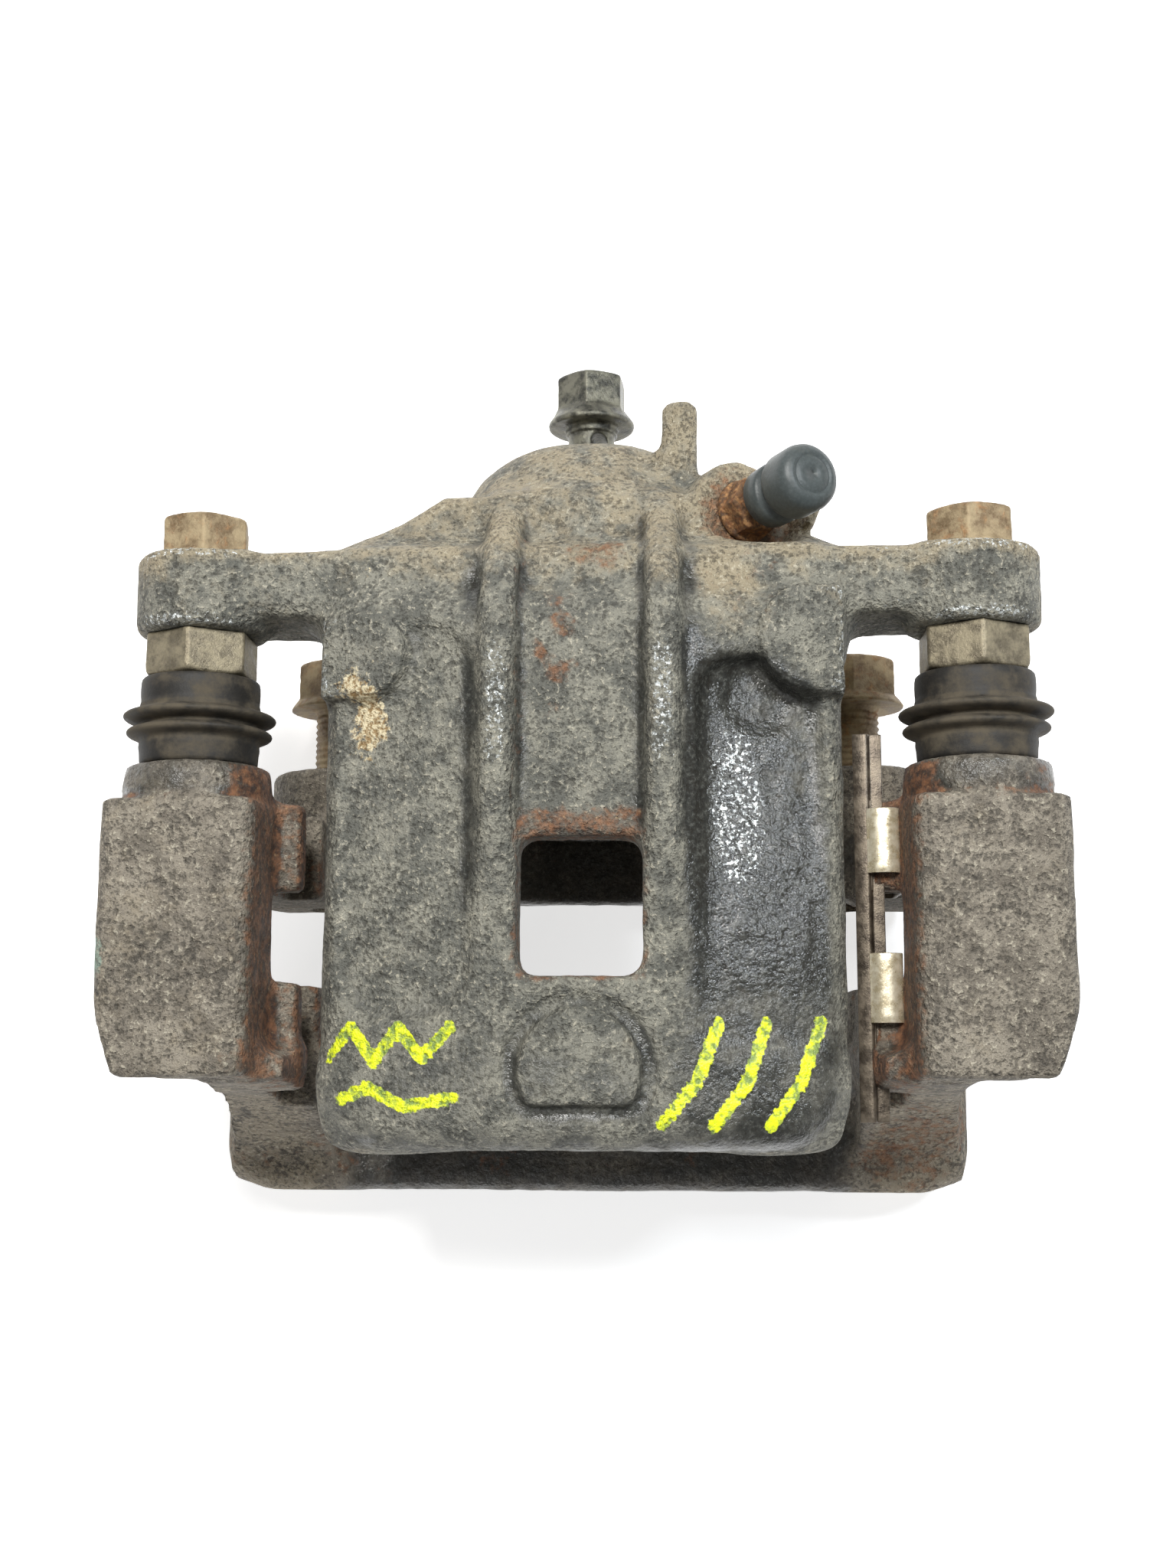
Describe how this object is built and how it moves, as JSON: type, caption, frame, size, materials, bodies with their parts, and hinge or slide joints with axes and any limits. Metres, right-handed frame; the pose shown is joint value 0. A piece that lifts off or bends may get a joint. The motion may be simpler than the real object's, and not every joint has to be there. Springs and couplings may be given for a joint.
{
  "type": "brake caliper",
  "caption": "Single-piston floating brake caliper on its carrier bracket, with guide pins, rubber boots, pad clip, bleeder and mounting bolts.",
  "frame": {"origin": "middle of the footprint, in the plane of the lowest faces (tie bar and lugs)", "axes": "+X along the disc's edge from pin to pin, +Y inboard towards the cylinder and hose bolt, +Z radially outward from the axle"},
  "size_m": [0.1586, 0.154, 0.0805],
  "materials": {
    "cast_bracket": "bare casting, dusty, rust in patches",
    "cast_body": "bare casting, rust-stained, worn bright on the ribs",
    "spring_sheet": "tarnished spring steel",
    "rusty_bolt": "plated hexagons with brown rust",
    "dark_bolt": "dark oiled steel",
    "pin_steel": "greasy steel",
    "piston_steel": "ground and plated",
    "boot_rubber": "dusty black rubber",
    "seal_rubber": "smooth rubber",
    "cap_rubber": "slate grey rubber"
  },
  "bodies": {
    "carrier": {"carrier": "cast_bracket", "pad_clip_right": "spring_sheet", "mounting_bolt_left": "rusty_bolt", "mounting_bolt_right": "rusty_bolt", "pin_boot_left": "boot_rubber", "pin_boot_right": "boot_rubber"},
    "caliper": {"caliper_body": "cast_body", "guide_pin_left": "pin_steel", "guide_pin_right": "pin_steel", "guide_bolt_left": "rusty_bolt", "guide_bolt_right": "rusty_bolt", "pin_bush_right": "boot_rubber", "piston_seal": "seal_rubber", "piston_dust_boot": "boot_rubber", "boot_snap_ring": "pin_steel", "banjo_bolt": "dark_bolt"},
    "piston": {"piston": "piston_steel"},
    "bleeder": {"bleeder_screw": "rusty_bolt"},
    "bleeder_cap": {"bleeder_cap": "cap_rubber"}
  },
  "joints": [
    {"name": "caliper_float", "type": "slide", "parent": "carrier", "child": "caliper", "axis": [0, 1, 0], "range_m": [-0.004, 0.012], "deforming": ["pin_boot_left", "pin_boot_right"]},
    {"name": "piston_slide", "type": "slide", "parent": "caliper", "child": "piston", "axis": [0, -1, 0], "range_m": [0, 0.018], "deforming": ["piston_dust_boot"]},
    {"name": "bleeder_turn", "type": "hinge", "parent": "caliper", "child": "bleeder", "pos_m": [0.0278, 0.0427, 0.058], "axis": [0.5002, 0.03, 0.8654], "range_deg": [0, 180]},
    {"name": "cap_pull", "type": "slide", "parent": "bleeder", "child": "bleeder_cap", "axis": [0.5002, 0.03, 0.8654], "range_m": [0, 0.016]}
  ]
}
